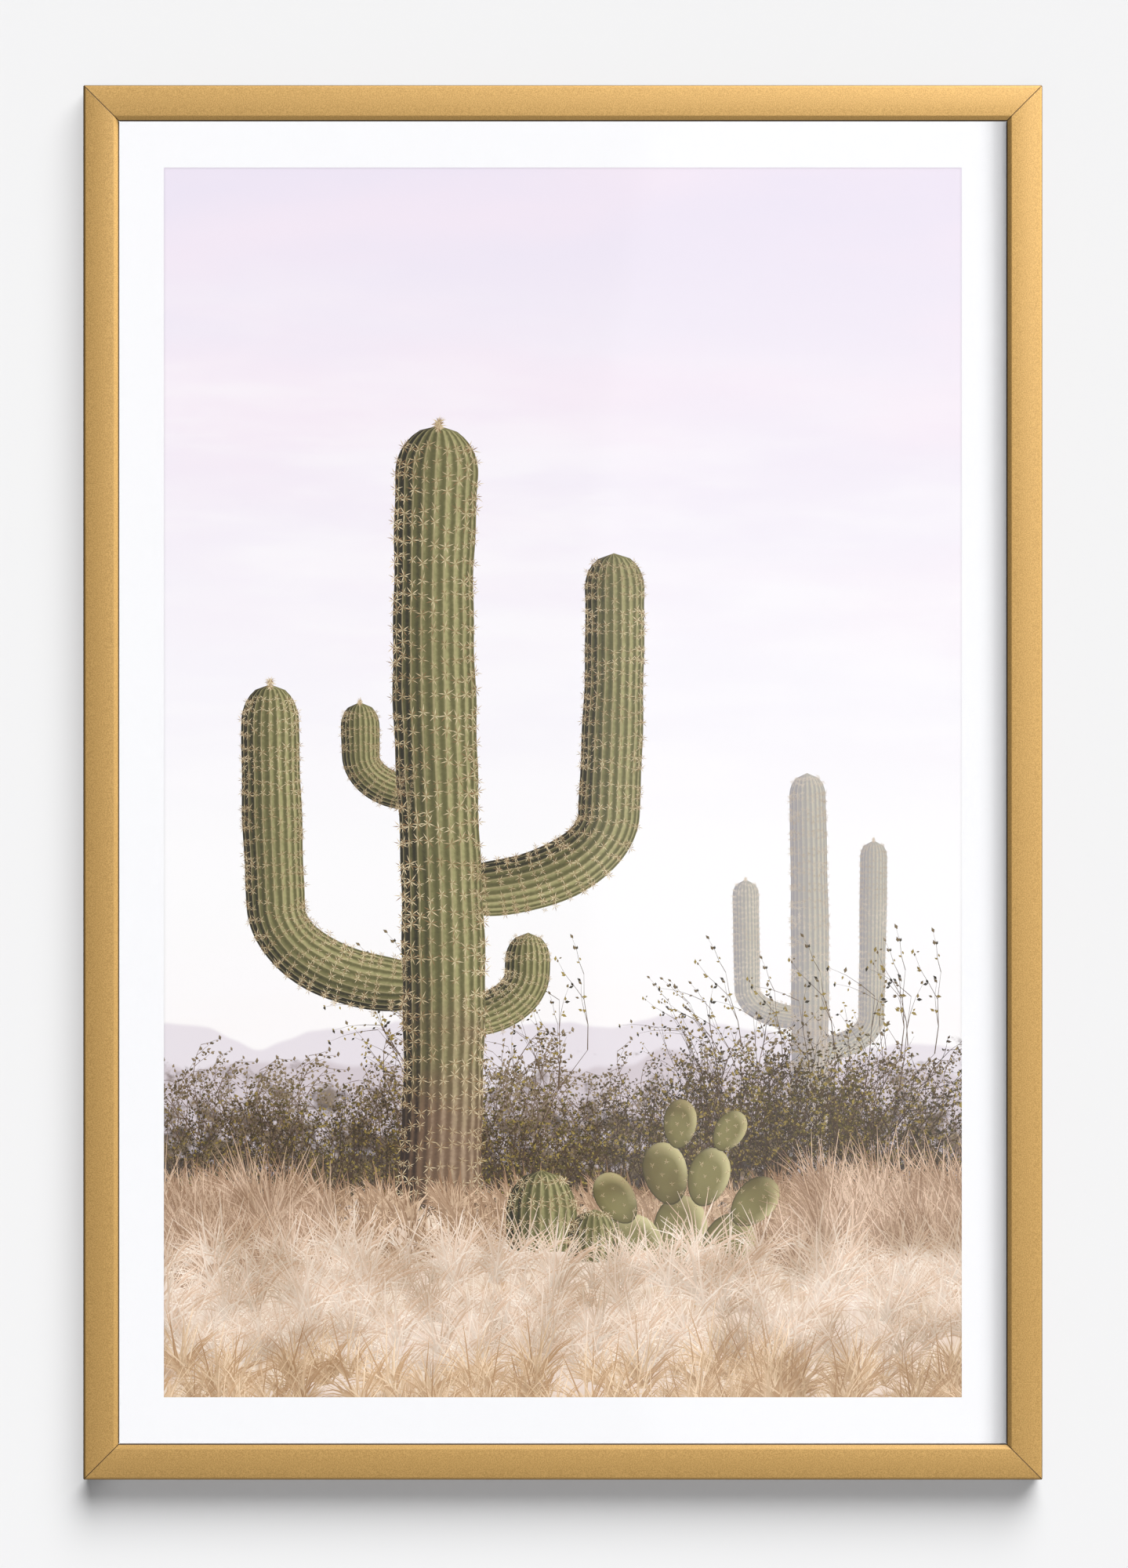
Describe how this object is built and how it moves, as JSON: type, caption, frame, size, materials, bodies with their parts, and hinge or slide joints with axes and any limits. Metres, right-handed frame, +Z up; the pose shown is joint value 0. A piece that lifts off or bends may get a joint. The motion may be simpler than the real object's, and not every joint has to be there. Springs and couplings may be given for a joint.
{
  "type": "framed picture",
  "caption": "Upright framed picture for a wall: mitred satin gold moulding, clear glazing, white mat with a window over a print, board back and a toothed hanger.",
  "frame": {"origin": "centre of the hanger's rear face, where the picture meets the wall", "axes": "+X to the viewer's right seen from the front, +Y from the picture back into the wall, +Z up along the picture's long side"},
  "size_m": [0.54, 0.027, 0.785],
  "materials": {
    "gold_moulding": "satin gold paint with a fine speckle",
    "clear_glazing": "clear, glossy",
    "white_mat": "matte white",
    "print_paper": "satin print",
    "backing": "brown hardboard",
    "steel": "zinc plated",
    "bumper_rubber": "matte dark grey"
  },
  "bodies": {
    "root": {"rail_top": "gold_moulding", "rail_right": "gold_moulding", "rail_bottom": "gold_moulding", "rail_left": "gold_moulding", "glazing": "clear_glazing", "mat_board": "white_mat", "print": "print_paper", "backing_board": "backing", "point_top_1": "steel", "point_top_2": "steel", "point_right_1": "steel", "point_right_2": "steel", "point_right_3": "steel", "point_right_4": "steel", "point_bottom_1": "steel", "point_bottom_2": "steel", "point_left_1": "steel", "point_left_2": "steel", "point_left_3": "steel", "point_left_4": "steel", "corner_nail_top_left_1": "steel", "corner_nail_top_left_2": "steel", "corner_nail_top_right_1": "steel", "corner_nail_top_right_2": "steel", "corner_nail_bottom_left_1": "steel", "corner_nail_bottom_left_2": "steel", "corner_nail_bottom_right_1": "steel", "corner_nail_bottom_right_2": "steel", "hanger": "steel", "hanger_nail_left": "steel", "hanger_nail_right": "steel", "bumper_left": "bumper_rubber", "bumper_right": "bumper_rubber"}
  },
  "joints": []
}
